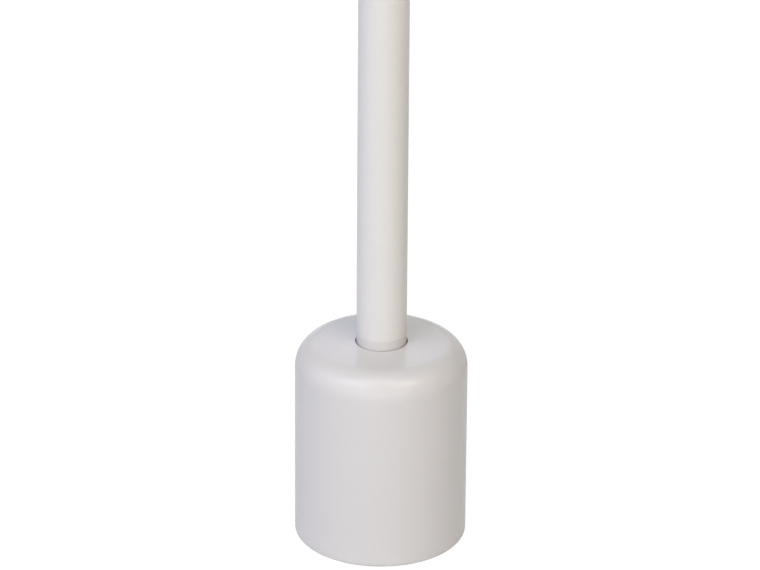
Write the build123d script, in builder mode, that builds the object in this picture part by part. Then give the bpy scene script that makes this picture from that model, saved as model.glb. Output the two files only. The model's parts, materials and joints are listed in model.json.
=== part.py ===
from build123d import *
from math import radians, tan
import os

# Customer pole display: a weighted round pot, a swivelling pole and a tilting display head.
# Millimetres, +Z up. The origin is the middle of the face that rests on the counter, and
# the display faces -Y.

# ================================================================ driving sizes
# pot
pot_radius = 55.0
pot_crest = 134.7  # counter to the crest of the shoulder
shoulder_radius = 16.5
crown_rise = 1.0  # crest to the rim of the pole hole
rim_round = 2.9  # rounding of the bottom rim
rim_flat = 0.3  # flat that the rounding leaves on the wall
pot_wall = 3.2
pot_lift = 0.8  # bottom rim above the counter
hole_round = 0.4
boss_radius = 4.5
boss_stand = 1.3  # boss to the pot's wall, bridged by a rib
boss_rib = 3.0
boss_length = 24.0
base_screw_count = 4
base_screw_turn = 45.0  # the screws of the pot stand between the axes

# base plate, foot pad and weight
pad_thickness = 2.0
pad_width = 10.4
pad_hole = 4.2  # reach for the screws of the pot
plate_thickness = 4.0
plate_edge = 0.4
bolt_tap = 2.1  # radius of the tapped holes for the counter bolts
bolt_count = 4
bolt_clearance = 3.5
bolt_room = 30.0  # depth that the counter bolts may reach into the weight
ballast_height = 72.0
ballast_gap = 0.8
ballast_edge = 1.0
ballast_screw_reach = 15.0  # into the weight
ballast_screw_count = 2

# pole, collar and swivel stem
pole_radius = 16.0
pole_wall = 1.55
pole_top = 400.0
pole_chamfer = 0.3
hole_gap = 0.6  # collar to the rim of the hole in the pot
collar_height = 6.0  # shows between the pot and the pole tube
collar_depth = 8.0  # hidden below the rim of the hole
stem_wall = 2.4
stem_grip = 45.0  # length of stem inside the pole
stem_chamfer = 0.5
grub_depth = 0.3  # set screws below the surface of the tube

# socket, bushes and swivel stop
socket_wall = 3.4
socket_flange_width = 7.5
socket_flange_thickness = 5.0
socket_top = 116.0
socket_fillet = 0.4
socket_screw_count = 4
bush_wall = 2.6
bush_length = 16.0
bush_flange = 1.5
bush_step = 1.2  # shoulder in the socket that the bushes seat on
washer_thickness = 1.5
foot_lip = 1.2  # flanges of the foot outside the stem
foot_flange_thickness = 3.4
foot_groove_height = 5.5
foot_groove_depth = 4.1
foot_bore = 7.0
foot_spigot = 12.5
foot_gap = 1.0  # upper flange of the foot to the lower bush
stop_tab_angle = 24.0
stop_tip_gap = 1.4  # stop screw to the bottom of the groove

# lead's way out of the base
lead_hole = 8.0
grommet_bore = 5.5
grommet_lip = 1.1
grommet_flange = 2.0

# neck and tilt hinge
neck_spigot = 25.0
neck_wall = 6.5
neck_disc = 4.0
neck_round = 1.0
pivot_rise = 20.0  # top of the neck's disc to the tilt axis
barrel_radius = 12.0
barrel_width = 22.0
barrel_foot = 23.0
barrel_round = 0.6
lead_slot = 12.0
friction_washer_thickness = 1.0
ear_thickness = 3.0
peg_radius = 1.5
peg_land = 3.5  # middle of the stop peg to the rim of the ear
peg_short = 0.3
tilt_up = 40.0
tilt_down = 15.0
tilt_spare = 2.0
spring_washer_thickness = 1.0
cap_depth = 6.0
cap_wall = 1.4
head_gap = 4.0  # barrel to the underside of the head
web_half = 30.0
bracket_screw_inset = 5.0

# housing of the display head
head_width = 220.0
head_height = 90.0
head_front = -30.0
bezel_depth = 14.0
rear_depth = 32.0
head_wall = 2.5
head_corner = 16.0
front_round = 4.0
rear_round = 9.0
seam_bevel = 0.3  # on both shells' outer edges where they meet
lip_thickness = 1.2
lip_length = 3.0
housing_boss = 4.0
housing_screw_side = 12.0  # screw to the side of the head
housing_screw_end = 11.5  # screw to the top or the underside of the head
well_depth = 16.0
screw_bite = 9.0
boss_floor = 1.0
vent_width = 2.4
vent_height = 26.0
vent_pitch = 6.0
vent_count = 7
vent_centre = 62.0
head_grommet_hole = 6.5
head_grommet_bore = 4.5

# window, display tube and boards
opening_width = 176.0
opening_height = 40.0
opening_corner = 3.0
opening_chamfer = 1.2
window_thickness = 2.0
window_lap = 5.0
gasket_thickness = 3.0
gasket_lap = 3.0
tube_thickness = 7.2
tube_lap = 1.0
tube_round = 1.0
tube_seat = 0.3  # tube to the board behind it
pin_pitch = 5.08
pin_count = 31
pin_width = 0.6
pin_thickness = 0.4
pin_drop = 1.8
pin_inset = 1.6
board_thickness = 1.6
board_margin = 7.0  # board to the top and the underside of the head
board_gap = 2.0  # board to the housing bosses
board_corner = 2.0
board_boss = 3.5
board_screw_side = 6.0
board_screw_end = 5.0
small_board_width = 80.0
small_board_height = 50.0
small_screw_side = 6.0
small_screw_end = 5.0
standoff_length = 9.0
standoff_thread = 6.0  # depth of the thread for the interface board's screw
standoff_across = 5.5
header_width = 28.0
header_height = 5.0
header_rise = 20.0
socket_body_width = 24.0
socket_body_height = 8.0
socket_body_depth = 9.0
socket_body_wall = 1.0
socket_body_drop = 18.0
chip_size = 14.0
chip_height = 1.6
driver_width = 8.0
driver_length = 18.0
capacitor_radius = 4.0
capacitor_height = 10.0
capacitor_pitch = 9.0
capacitor_count = 3
capacitor_round = 0.5
coil_radius = 7.0
coil_height = 9.0
coil_flange = 1.5
coil_groove = 1.75  # depth of the winding space

# fits
running = 0.05  # radial, between pieces that turn
slip = 0.05  # radial, between pieces that are pushed together
loose = 0.15  # housing parts and clearance holes
axial = 0.05  # along a turning axis

# screws: radius of the shank and of the head
sink_angle = 90.0  # of countersunk heads
sunk_hex = 0.7  # hexagon sockets, as a share of the shank's radius
pan_hex = 0.75
grub_hex = 0.55
pan_hex_depth = 0.6  # as a share of the head's height
pan_round = 0.4
grub_hex_depth = 0.4  # as a share of the screw's length
m6 = 3.0
m6_head = 5.2
m6_head_height = 3.0
m5 = 2.5
m5_head = 4.7
m4 = 2.0
m4_head = 3.7
m35 = 1.75
m35_head = 3.3
m3 = 1.5
m3_head = 2.8
pan_height = 2.2
tip_gap = 0.5  # screw tips to the bottom of their holes

# ================================================================ worked-out places
plate_bottom = pad_thickness
plate_top = plate_bottom + plate_thickness
pot_rim = pot_crest + crown_rise
pot_inner = pot_radius - pot_wall
boss_circle = pot_inner - boss_stand - boss_radius
hole_radius = pole_radius + hole_gap
stem_radius = pole_radius - pole_wall - slip
stem_bore = stem_radius - stem_wall
bush_bore = stem_radius + running
bush_outer = bush_bore + bush_wall
socket_bore = bush_outer + slip
socket_outer = socket_bore + socket_wall
socket_flange = socket_outer + socket_flange_width
socket_screw_circle = (socket_outer + socket_flange) / 2
ballast_radius = boss_circle - boss_radius - ballast_gap
ballast_bore = socket_outer + ballast_gap
flange_recess = socket_flange + ballast_gap / 2
bolt_circle = (flange_recess + ballast_radius) / 2
foot_flange = stem_radius + foot_lip
foot_root = foot_flange - foot_groove_depth
foot_bottom = plate_top + washer_thickness + axial
groove_bottom = foot_bottom + foot_flange_thickness
groove_top = groove_bottom + foot_groove_height
groove_middle = (groove_bottom + groove_top) / 2
stop_tip = foot_root + stop_tip_gap
stem_bottom = groove_top + foot_flange_thickness
lower_bush_bottom = stem_bottom + foot_gap
lower_bush_top = lower_bush_bottom + bush_length
upper_bush_bottom = socket_top - bush_length
collar_top = pot_rim + collar_height
collar_bottom = pot_rim - collar_depth
stem_top = collar_top + stem_grip
pole_screw_heights = [collar_top + stem_grip / 3, collar_top + 2 * stem_grip / 3]
grommet_groove = lead_hole - slip
grommet_outer = grommet_groove + grommet_flange

neck_radius = pole_radius - pole_wall - slip
neck_bore = neck_radius - neck_wall
neck_screw_height = pole_top - neck_spigot / 2
pivot = pole_top + neck_disc + pivot_rise
barrel_half = barrel_width / 2
ear_radius = barrel_radius
peg_circle = ear_radius - peg_land
ear_inner = barrel_half + friction_washer_thickness + axial
ear_outer = ear_inner + ear_thickness
ear_middle = (ear_inner + ear_outer) / 2
screw_seat = ear_outer + axial + spring_washer_thickness
peg_end = ear_outer - peg_short

head_bottom = pivot + barrel_radius + head_gap
head_mid = head_bottom + head_height / 2
split = head_front + bezel_depth
head_back = split + rear_depth
web_bottom = head_bottom + head_wall
web_top = web_bottom + ear_thickness
bracket_screw_x = web_half - bracket_screw_inset
web_back = head_back - rear_round - loose
web_depth = web_back + ear_radius
web_middle = (web_back - ear_radius) / 2
bracket_screw_y = web_depth / 2 - bracket_screw_inset
housing_screw_x = head_width / 2 - housing_screw_side
housing_screw_z = head_height / 2 - housing_screw_end
lip_outer = head_wall + loose
lip_inner = lip_outer + lip_thickness

window_front = head_front + head_wall
gasket_front = window_front + window_thickness
tube_front = gasket_front + gasket_thickness
tube_back = tube_front + tube_thickness
board_front = tube_back + tube_seat
board_back = board_front + board_thickness
small_front = board_back + standoff_length
small_back = small_front + board_thickness
window_width = opening_width + 2 * window_lap
window_height = opening_height + 2 * window_lap
tube_width = opening_width + 2 * tube_lap
tube_height = opening_height + 2 * tube_lap
board_width = 2 * (housing_screw_x - housing_boss - board_gap)
board_height = head_height - 2 * board_margin
board_screw_x = board_width / 2 - board_screw_side
board_screw_z = board_height / 2 - board_screw_end
standoff_x = small_board_width / 2 - small_screw_side
standoff_z = small_board_height / 2 - small_screw_end

# planes that face down, under the base plate and under the head
under_plate = Plane(origin=(0, 0, plate_bottom), x_dir=(1, 0, 0), z_dir=(0, 0, -1))
under_head = Plane(origin=(0, 0, head_bottom), x_dir=(1, 0, 0), z_dir=(0, 0, -1))
under_web = Plane(origin=(0, web_middle, head_bottom), x_dir=(1, 0, 0), z_dir=(0, 0, -1))


def level(z):
    """Horizontal plane at height z."""
    return Plane.XY.offset(z)


def facing(y):
    """Upright plane at depth y that faces the customer, centred on the head."""
    return Plane(origin=(0, y, head_mid), x_dir=(1, 0, 0), z_dir=(0, -1, 0))


def behind(y):
    """Upright plane at depth y that faces the cashier, centred on the head."""
    return Plane(origin=(0, y, head_mid), x_dir=(-1, 0, 0), z_dir=(0, 1, 0))


def across(x):
    """Plane across the tilt axis at x: local x runs along +Y and local y runs up."""
    return Plane(origin=(x, 0, pivot), x_dir=(0, 1, 0), z_dir=(1, 0, 0))


def rear_radius(y, z):
    """Plane across a radius that runs to the back, at distance y and height z."""
    return Plane(origin=(0, y, z), x_dir=(-1, 0, 0), z_dir=(0, 1, 0))


def sunk_screw(radius, head_radius, length):
    """Countersunk socket screw: head flush with local z = 0, shank down -Z."""
    head_depth = (head_radius - radius) / tan(radians(sink_angle / 2))
    with BuildPart() as screw:
        with BuildSketch(Plane.XZ):
            with BuildLine():
                Polyline(
                    (0, 0),
                    (head_radius, 0),
                    (radius, -head_depth),
                    (radius, -length),
                    (0, -length),
                    close=True,
                )
            make_face()
        revolve(axis=Axis.Z)
        with BuildSketch():
            RegularPolygon(sunk_hex * radius, 6)
        extrude(amount=-head_depth, mode=Mode.SUBTRACT)
    return screw.part


def pan_screw(radius, head_radius, head_height, length):
    """Pan head socket screw: head seated on local z = 0, shank down -Z."""
    with BuildPart() as screw:
        Cylinder(head_radius, head_height, align=(Align.CENTER, Align.CENTER, Align.MIN))
        fillet(screw.edges().sort_by(Axis.Z)[-1], pan_round * head_height)
        Cylinder(radius, length, align=(Align.CENTER, Align.CENTER, Align.MAX))
        with BuildSketch(level(head_height)):
            RegularPolygon(pan_hex * radius, 6)
        extrude(amount=-pan_hex_depth * head_height, mode=Mode.SUBTRACT)
    return screw.part


def grub_screw(radius, length):
    """Socket set screw: outer end at local z = 0, body down -Z."""
    with BuildPart() as screw:
        Cylinder(radius, length, align=(Align.CENTER, Align.CENTER, Align.MAX))
        with BuildSketch():
            RegularPolygon(grub_hex * radius, 6)
        extrude(amount=-grub_hex_depth * length, mode=Mode.SUBTRACT)
    return screw.part


def ring(plane, inner, outer, thickness):
    """Flat ring or tube that stands on a plane."""
    with BuildPart() as washer:
        with BuildSketch(plane):
            Circle(outer)
            Circle(inner, mode=Mode.SUBTRACT)
        extrude(amount=thickness)
    return washer.part


def head_outline(inset, mode=Mode.ADD):
    """Outline of the head in the active sketch, pulled in by inset."""
    width = head_width - 2 * inset
    height = head_height - 2 * inset
    return RectangleRounded(width, height, head_corner - inset, mode=mode)


def housing_block(depth, inset, edge_round):
    """Solid block of the head's outline from the split, pulled in by inset, with its far edge rounded.

    A positive depth runs towards the customer and a negative one to the back.
    """
    with BuildPart() as block:
        with BuildSketch(facing(split)):
            head_outline(inset)
        extrude(amount=depth)
        far_face = block.faces().sort_by(Axis.Y)[0 if depth > 0 else -1]
        fillet(far_face.edges(), edge_round)
    return block.part


def housing_ring(plane, outer_inset, inner_inset, depth):
    """Frame between two outlines of the head, each pulled in by its inset."""
    with BuildPart() as frame:
        with BuildSketch(plane):
            head_outline(outer_inset)
            head_outline(inner_inset, mode=Mode.SUBTRACT)
        extrude(amount=depth)
    return frame.part


def display_pin():
    """One bent pin of the display tube: down from the glass edge, then back to the board."""
    glass_edge = -tube_height / 2
    with BuildPart() as pin:
        with BuildSketch(Plane(origin=(-pin_width / 2, 0, head_mid), x_dir=(0, 1, 0), z_dir=(1, 0, 0))):
            with BuildLine():
                Polyline(
                    (tube_back - pin_inset - pin_thickness, glass_edge),
                    (tube_back - pin_inset, glass_edge),
                    (tube_back - pin_inset, glass_edge - pin_drop + pin_thickness),
                    (board_front, glass_edge - pin_drop + pin_thickness),
                    (board_front, glass_edge - pin_drop),
                    (tube_back - pin_inset - pin_thickness, glass_edge - pin_drop),
                    close=True,
                )
            make_face()
        extrude(amount=pin_width)
    return pin.part


# ================================================================ weighted base
rim_fillet = min(rim_round, pot_wall - rim_flat)
crest_radius = pot_radius - shoulder_radius
with BuildPart() as base_shell:
    with BuildSketch(Plane.XZ):
        with BuildLine():
            rim = RadiusArc(
                (pot_radius - rim_fillet, pot_lift), (pot_radius, pot_lift + rim_fillet), -rim_fillet
            )
            side = Line(rim @ 1, (pot_radius, pot_crest - shoulder_radius))
            shoulder = RadiusArc(side @ 1, (crest_radius, pot_crest), -shoulder_radius)
            crown = Line(shoulder @ 1, (hole_radius, pot_rim))
            hole_side = Line(crown @ 1, (hole_radius, pot_rim - pot_wall))
            crown_under = Line(hole_side @ 1, (crest_radius, pot_crest - pot_wall))
            inner_shoulder = RadiusArc(
                crown_under @ 1, (pot_inner, pot_crest - shoulder_radius), shoulder_radius - pot_wall
            )
            inner_side = Line(inner_shoulder @ 1, (pot_inner, pot_lift))
            Line(inner_side @ 1, rim @ 0)
        make_face()
    revolve(axis=Axis.Z)
    hole_edge = base_shell.edges().filter_by(GeomType.CIRCLE).sort_by(Axis.Z)[-1]
    fillet(hole_edge, hole_round)
    # screw bosses with a rib to the wall, seated on the base plate
    with BuildSketch(level(plate_top)):
        with PolarLocations(boss_circle, base_screw_count, start_angle=base_screw_turn):
            Circle(boss_radius)
            Rectangle(boss_radius + boss_stand + pot_wall / 2, boss_rib, align=(Align.MIN, Align.CENTER))
    extrude(amount=boss_length)
    with BuildSketch(level(plate_top)):
        with PolarLocations(boss_circle, base_screw_count, start_angle=base_screw_turn):
            Circle(m35 + slip)
    extrude(amount=boss_length - pot_wall, mode=Mode.SUBTRACT)

with BuildPart() as base_plate:
    with BuildSketch(level(plate_bottom)):
        Circle(pot_inner - loose)
        Circle(lead_hole, mode=Mode.SUBTRACT)
        with PolarLocations(bolt_circle, bolt_count):
            Circle(bolt_tap, mode=Mode.SUBTRACT)
    extrude(amount=plate_thickness)
    chamfer(base_plate.edges().filter_by(GeomType.CIRCLE).sort_by(SortBy.LENGTH)[-2:], plate_edge)
    with Locations(under_plate):
        with PolarLocations(boss_circle, base_screw_count, start_angle=base_screw_turn):
            CounterSinkHole(m35 + loose, m35_head + loose, plate_thickness, counter_sink_angle=sink_angle)
        with PolarLocations(socket_screw_circle, socket_screw_count):
            CounterSinkHole(m4 + loose, m4_head + loose, plate_thickness, counter_sink_angle=sink_angle)
        with PolarLocations(bolt_circle, ballast_screw_count, start_angle=base_screw_turn):
            CounterSinkHole(m5 + loose, m5_head + loose, plate_thickness, counter_sink_angle=sink_angle)

with BuildPart() as foot_pad:
    with BuildSketch():
        Circle(boss_circle + pad_width / 2)
        Circle(boss_circle - pad_width / 2, mode=Mode.SUBTRACT)
        with PolarLocations(boss_circle, base_screw_count, start_angle=base_screw_turn):
            Circle(pad_hole, mode=Mode.SUBTRACT)
    extrude(amount=pad_thickness)

with BuildPart() as ballast_ring:
    with BuildSketch(level(plate_top)):
        Circle(ballast_radius)
        Circle(ballast_bore, mode=Mode.SUBTRACT)
    extrude(amount=ballast_height)
    chamfer(ballast_ring.edges().filter_by(GeomType.CIRCLE), ballast_edge)
    with BuildSketch(level(plate_top)):
        Circle(flange_recess)
    extrude(amount=socket_flange_thickness + ballast_gap, mode=Mode.SUBTRACT)
    with BuildSketch(level(plate_top)):
        with PolarLocations(bolt_circle, bolt_count):
            Circle(bolt_clearance)
    extrude(amount=bolt_room, mode=Mode.SUBTRACT)
    with Locations(under_plate):
        with PolarLocations(bolt_circle, ballast_screw_count, start_angle=base_screw_turn):
            Hole(m5 + slip, plate_thickness + ballast_screw_reach)

with BuildPart() as pole_socket:
    with BuildSketch(level(plate_top)):
        Circle(socket_flange)
    extrude(amount=socket_flange_thickness)
    with BuildSketch(level(plate_top)):
        Circle(socket_outer)
    extrude(amount=socket_top - plate_top)
    flange_top_edges = pole_socket.edges().filter_by(GeomType.CIRCLE).group_by(Axis.Z)[1]
    fillet(flange_top_edges.sort_by(SortBy.LENGTH)[0], socket_fillet)
    with BuildSketch(level(plate_top)):
        Circle(socket_bore)
    extrude(amount=lower_bush_top - plate_top, mode=Mode.SUBTRACT)
    with BuildSketch(level(plate_top)):
        Circle(socket_bore - bush_step)
    extrude(amount=socket_top - plate_top, mode=Mode.SUBTRACT)
    with BuildSketch(level(upper_bush_bottom)):
        Circle(socket_bore)
    extrude(amount=bush_length, mode=Mode.SUBTRACT)
    with BuildSketch(level(plate_top)):
        with PolarLocations(socket_screw_circle, socket_screw_count):
            Circle(m4 + slip)
    extrude(amount=socket_flange_thickness, mode=Mode.SUBTRACT)
    with BuildSketch(rear_radius(0, groove_middle)):
        Circle(m4 + slip)
    extrude(amount=socket_outer + socket_wall, mode=Mode.SUBTRACT)

with BuildPart() as lower_bush:
    add(ring(level(lower_bush_bottom), bush_bore, bush_outer, bush_length))

with BuildPart() as upper_bush:
    add(ring(level(upper_bush_bottom), bush_bore, bush_outer, bush_length))
    add(ring(level(socket_top), bush_bore, socket_outer, bush_flange))

with BuildPart() as lead_grommet:
    add(ring(level(plate_bottom - grommet_lip), grommet_bore, grommet_outer, grommet_lip))
    add(ring(level(plate_bottom), grommet_bore, grommet_groove, plate_thickness))
    add(ring(level(plate_top), grommet_bore, grommet_outer, grommet_lip))

with BuildPart() as thrust_washer:
    add(ring(level(plate_top), grommet_outer + loose, foot_flange, washer_thickness))

shell_screw = sunk_screw(m35, m35_head, plate_thickness + boss_length - pot_wall - tip_gap)
with BuildPart(under_plate) as shell_screws:
    with PolarLocations(boss_circle, base_screw_count, start_angle=base_screw_turn):
        add(shell_screw)

socket_screw = sunk_screw(m4, m4_head, plate_thickness + socket_flange_thickness - tip_gap)
with BuildPart(under_plate) as socket_screws:
    with PolarLocations(socket_screw_circle, socket_screw_count):
        add(socket_screw)

ballast_screw = sunk_screw(m5, m5_head, plate_thickness + ballast_screw_reach - tip_gap)
with BuildPart(under_plate) as ballast_screws:
    with PolarLocations(bolt_circle, ballast_screw_count, start_angle=base_screw_turn):
        add(ballast_screw)

stop_length = socket_outer - grub_depth - stop_tip
with BuildPart(rear_radius(socket_outer - grub_depth, groove_middle)) as stop_screw:
    add(grub_screw(m4, stop_length))

# ================================================================ swivelling pole
with BuildPart() as swivel_stem:
    add(ring(level(stem_bottom), stem_bore, stem_radius, stem_top - stem_bottom))
    chamfer(swivel_stem.edges().group_by(Axis.Z)[-1].sort_by(SortBy.LENGTH)[-1], stem_chamfer)
    for height in pole_screw_heights:
        with BuildSketch(rear_radius(0, height)):
            Circle(m5 + slip)
        extrude(amount=pole_radius, mode=Mode.SUBTRACT)

with BuildPart() as stem_foot:
    add(ring(level(foot_bottom), foot_bore, foot_flange, foot_flange_thickness))
    add(ring(level(groove_bottom), foot_bore, foot_root, foot_groove_height))
    add(ring(level(groove_top), foot_bore, foot_flange, foot_flange_thickness))
    add(ring(level(stem_bottom), foot_bore, stem_bore - slip, foot_spigot))
    # stop tab at the front of the groove, opposite the stop screw
    with BuildSketch(level(groove_bottom)):
        with BuildLine():
            tab_start = -90 - stop_tab_angle / 2
            tab_outer = CenterArc((0, 0), foot_flange, tab_start, stop_tab_angle)
            tab_inner = CenterArc((0, 0), (foot_bore + foot_root) / 2, tab_start, stop_tab_angle)
            Line(tab_outer @ 0, tab_inner @ 0)
            Line(tab_outer @ 1, tab_inner @ 1)
        make_face()
    extrude(amount=foot_groove_height)

with BuildPart() as pole_collar:
    add(ring(level(collar_bottom), pole_radius - pole_wall, pole_radius, collar_top - collar_bottom))
    chamfer(pole_collar.edges().group_by(Axis.Z)[-1].sort_by(SortBy.LENGTH)[-1], pole_chamfer)

with BuildPart() as pole_tube:
    add(ring(level(collar_top), pole_radius - pole_wall, pole_radius, pole_top - collar_top))
    chamfer(pole_tube.edges().group_by(Axis.Z)[0].sort_by(SortBy.LENGTH)[-1], pole_chamfer)
    for height in pole_screw_heights:
        with BuildSketch(rear_radius(0, height)):
            Circle(m5 + loose)
        extrude(amount=pole_radius, mode=Mode.SUBTRACT)
    with BuildSketch(rear_radius(0, neck_screw_height)):
        Circle(m4 + loose)
    extrude(amount=pole_radius, mode=Mode.SUBTRACT)

pole_screw = grub_screw(m5, pole_radius - grub_depth - stem_bore)
with BuildPart() as pole_screws:
    for height in pole_screw_heights:
        with Locations(rear_radius(pole_radius - grub_depth, height)):
            add(pole_screw)

# ================================================================ neck and tilt hinge
with BuildPart() as neck:
    with BuildSketch(level(pole_top - neck_spigot)):
        Circle(neck_radius)
    extrude(amount=neck_spigot)
    with BuildSketch(level(pole_top)):
        Circle(pole_radius)
    extrude(amount=neck_disc)
    fillet(neck.edges().group_by(Axis.Z)[-1], neck_round)
    # riser and barrel, one outline across the tilt axis
    with BuildSketch(across(-barrel_half)):
        Circle(barrel_radius)
        with BuildLine():
            riser_foot = -pivot_rise - neck_disc / 2
            Polyline(
                (-barrel_radius, 0),
                (-barrel_foot / 2, riser_foot),
                (barrel_foot / 2, riser_foot),
                (barrel_radius, 0),
                close=True,
            )
        make_face()
    extrude(amount=barrel_width)
    barrel_rims = neck.edges().filter_by(GeomType.CIRCLE).group_by(Axis.Z)[-1]
    fillet(barrel_rims, barrel_round)
    # stop pegs on both cheeks
    with BuildSketch(across(-peg_end)):
        with Locations((0, -peg_circle)):
            Circle(peg_radius)
    extrude(amount=2 * peg_end)
    # way for the lead: up the bore, then out at the top and at the back of the barrel
    with BuildSketch(level(pole_top - neck_spigot)):
        Circle(neck_bore)
    extrude(amount=pivot - pole_top + neck_spigot - barrel_radius / 2, mode=Mode.SUBTRACT)
    with BuildSketch(across(-lead_slot / 2)):
        with Locations((-barrel_radius / 2, -barrel_radius / 2)):
            Rectangle(2 * barrel_radius, 2 * barrel_radius, align=(Align.MIN, Align.MIN))
    extrude(amount=lead_slot, mode=Mode.SUBTRACT)
    # threads for the two hinge screws, and for the neck screw at the back
    with BuildSketch(across(-barrel_half)):
        Circle(m6 + slip)
    extrude(amount=barrel_width, mode=Mode.SUBTRACT)
    with BuildSketch(rear_radius(0, neck_screw_height)):
        Circle(m4 + slip)
    extrude(amount=pole_radius, mode=Mode.SUBTRACT)

with BuildPart(rear_radius(pole_radius - grub_depth, neck_screw_height)) as neck_screw:
    add(grub_screw(m4, pole_radius - grub_depth - neck_bore))

washer_outer = peg_circle - peg_radius - loose
with BuildPart() as friction_washers:
    add(ring(across(barrel_half), m6 + running, washer_outer, friction_washer_thickness))
    mirror(about=Plane.YZ)

with BuildPart() as spring_washers:
    add(ring(across(ear_outer + axial), m6 + running, m6_head, spring_washer_thickness))
    mirror(about=Plane.YZ)

hinge_screw = pan_screw(m6, m6_head, m6_head_height, screw_seat - lead_slot / 2 - tip_gap)
with BuildPart() as hinge_screws:
    with Locations(across(screw_seat)):
        add(hinge_screw)
    mirror(about=Plane.YZ)

peg_path = CenterArc(
    (0, 0), peg_circle, -90 - tilt_down - tilt_spare, tilt_down + tilt_up + 2 * tilt_spare
)
with BuildPart() as hinge_bracket:
    with BuildSketch(level(web_bottom)):
        with Locations((0, web_middle)):
            Rectangle(2 * web_half, web_depth)
            with GridLocations(2 * bracket_screw_x, 2 * bracket_screw_y, 2, 2):
                Circle(m4 + slip, mode=Mode.SUBTRACT)
        Circle(head_grommet_hole, mode=Mode.SUBTRACT)
    extrude(amount=ear_thickness)
    for inner_face in (ear_inner, -ear_outer):
        with BuildSketch(across(inner_face)):
            Circle(ear_radius)
            Rectangle(2 * ear_radius, web_top - pivot, align=(Align.CENTER, Align.MIN))
            Circle(m6 + running, mode=Mode.SUBTRACT)
            SlotArc(peg_path, 2 * (peg_radius + loose), mode=Mode.SUBTRACT)
        extrude(amount=ear_thickness)

with BuildPart() as hinge_caps:
    with BuildSketch(across(ear_outer)):
        Circle(ear_radius)
    extrude(amount=cap_depth)
    fillet(hinge_caps.edges().group_by(Axis.X)[-1], cap_wall)
    with BuildSketch(across(ear_outer)):
        Circle(ear_radius - 2 * cap_wall)
    extrude(amount=cap_depth - cap_wall, mode=Mode.SUBTRACT)
    mirror(about=Plane.YZ)

bracket_screw = pan_screw(m4, m4_head, pan_height, head_wall + ear_thickness)
with BuildPart(under_web) as bracket_screws:
    with GridLocations(2 * bracket_screw_x, 2 * bracket_screw_y, 2, 2):
        add(bracket_screw)

# ================================================================ housing of the display head
rear_block = housing_block(-rear_depth, 0, rear_round)
rear_hollow = housing_block(head_wall - rear_depth, head_wall, rear_round - head_wall)
with BuildPart() as rear_cover:
    add(rear_block)
    chamfer(rear_cover.faces().sort_by(Axis.Y)[0].edges(), seam_bevel)
    add(rear_hollow, mode=Mode.SUBTRACT)
    # bosses for the housing screws, with wells for the heads in the back
    with BuildSketch(facing(split)):
        with GridLocations(2 * housing_screw_x, 2 * housing_screw_z, 2, 2):
            Circle(housing_boss)
    extrude(amount=head_wall - rear_depth)
    with Locations(behind(head_back)):
        with GridLocations(2 * housing_screw_x, 2 * housing_screw_z, 2, 2):
            CounterBoreHole(m3 + loose, m3_head + loose, well_depth, rear_depth)
    # vents in the back
    with BuildSketch(behind(head_back)):
        with Locations((-vent_centre, 0), (vent_centre, 0)):
            with GridLocations(vent_pitch, 0, vent_count, 1):
                SlotOverall(vent_height, vent_width, rotation=90)
    extrude(amount=-2 * head_wall, mode=Mode.SUBTRACT)
    # slots for the bracket's ears, screw holes and the lead's way in
    with BuildSketch(under_head):
        with Locations((ear_middle, 0), (-ear_middle, 0)):
            Rectangle(ear_thickness + 2 * loose, 2 * (ear_radius + loose))
    extrude(amount=-head_wall - ear_thickness - loose, mode=Mode.SUBTRACT)
    with BuildSketch(under_web):
        with GridLocations(2 * bracket_screw_x, 2 * bracket_screw_y, 2, 2):
            Circle(m4 + loose)
    extrude(amount=-head_wall, mode=Mode.SUBTRACT)
    with BuildSketch(under_head):
        Circle(head_grommet_hole)
    extrude(amount=-head_wall, mode=Mode.SUBTRACT)

bezel_block = housing_block(bezel_depth, 0, front_round)
bezel_hollow = housing_block(bezel_depth - head_wall, head_wall, front_round - head_wall)
with BuildPart() as front_bezel:
    add(bezel_block)
    chamfer(front_bezel.faces().sort_by(Axis.Y)[-1].edges(), seam_bevel)
    add(bezel_hollow, mode=Mode.SUBTRACT)
    # window opening with a bevelled edge
    with BuildSketch(facing(head_front)):
        RectangleRounded(opening_width, opening_height, opening_corner)
    extrude(amount=-head_wall, mode=Mode.SUBTRACT)
    chamfer(front_bezel.faces().sort_by(Axis.Y)[0].inner_wires().edges(), opening_chamfer)
    # lip that centres the rear cover, and its root on the bezel's wall
    add(housing_ring(facing(split + lip_length), lip_outer, lip_inner, 2 * lip_length))
    add(housing_ring(facing(split), head_wall / 2, lip_inner, lip_length))
    # bosses for the display board and for the housing screws
    with BuildSketch(facing(board_front)):
        with GridLocations(2 * board_screw_x, 2 * board_screw_z, 2, 2):
            Circle(board_boss)
    extrude(amount=board_front - window_front)
    with BuildSketch(facing(split)):
        with GridLocations(2 * housing_screw_x, 2 * housing_screw_z, 2, 2):
            Circle(housing_boss)
    extrude(amount=split - window_front)
    with BuildSketch(facing(board_front)):
        with GridLocations(2 * board_screw_x, 2 * board_screw_z, 2, 2):
            Circle(m3 + slip)
    extrude(amount=board_front - window_front - boss_floor, mode=Mode.SUBTRACT)
    with BuildSketch(facing(split)):
        with GridLocations(2 * housing_screw_x, 2 * housing_screw_z, 2, 2):
            Circle(m3 + slip)
    extrude(amount=split - window_front - boss_floor, mode=Mode.SUBTRACT)

housing_screw = pan_screw(m3, m3_head, pan_height, rear_depth - well_depth + screw_bite)
with BuildPart(behind(head_back - well_depth)) as housing_screws:
    with GridLocations(2 * housing_screw_x, 2 * housing_screw_z, 2, 2):
        add(housing_screw)

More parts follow.
